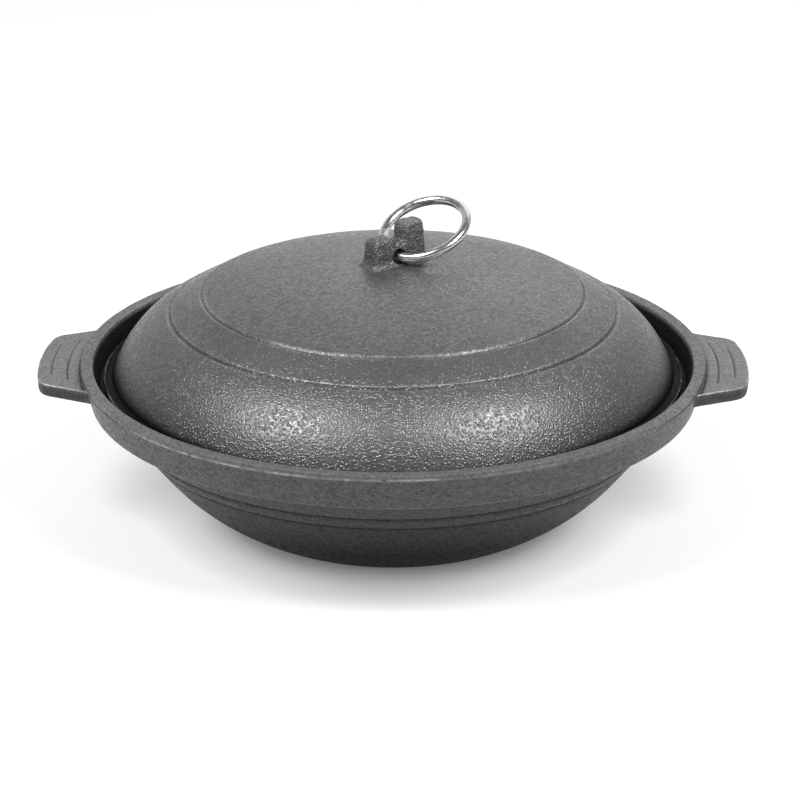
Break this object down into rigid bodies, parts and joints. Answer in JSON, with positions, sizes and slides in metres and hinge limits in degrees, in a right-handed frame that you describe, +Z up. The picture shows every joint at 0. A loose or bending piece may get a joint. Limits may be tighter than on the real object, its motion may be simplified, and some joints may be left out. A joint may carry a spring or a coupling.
{
  "type": "lidded cooking pot",
  "caption": "Shallow round cast iron pot with tab handles, a flared collar, a domed lid seated on an inner ledge and a steel pull ring through the lug on top.",
  "frame": {"origin": "centre of the flat foot", "axes": "+X runs through the two handles, +Z is up"},
  "size_m": [0.296, 0.2598, 0.1297],
  "materials": {
    "pot": "dark seasoned iron with a fine sand-cast grain, smoother on the handles",
    "lid": "dark seasoned iron with a pebbly sand-cast grain",
    "ring": "bright polished wire"
  },
  "bodies": {
    "pot": {"pot": "pot"},
    "lid": {"lid": "lid"},
    "ring": {"lid_ring": "ring"}
  },
  "joints": [
    {"name": "lid_lift", "type": "slide", "parent": "pot", "child": "lid", "axis": [0, 0, 1], "range_m": [0, 0.12]},
    {"name": "ring_swing", "type": "hinge", "parent": "lid", "child": "ring", "pos_m": [0, 0, 0.112], "axis": [0.6018, -0.7986, 0], "range_deg": [-25, 154]}
  ]
}
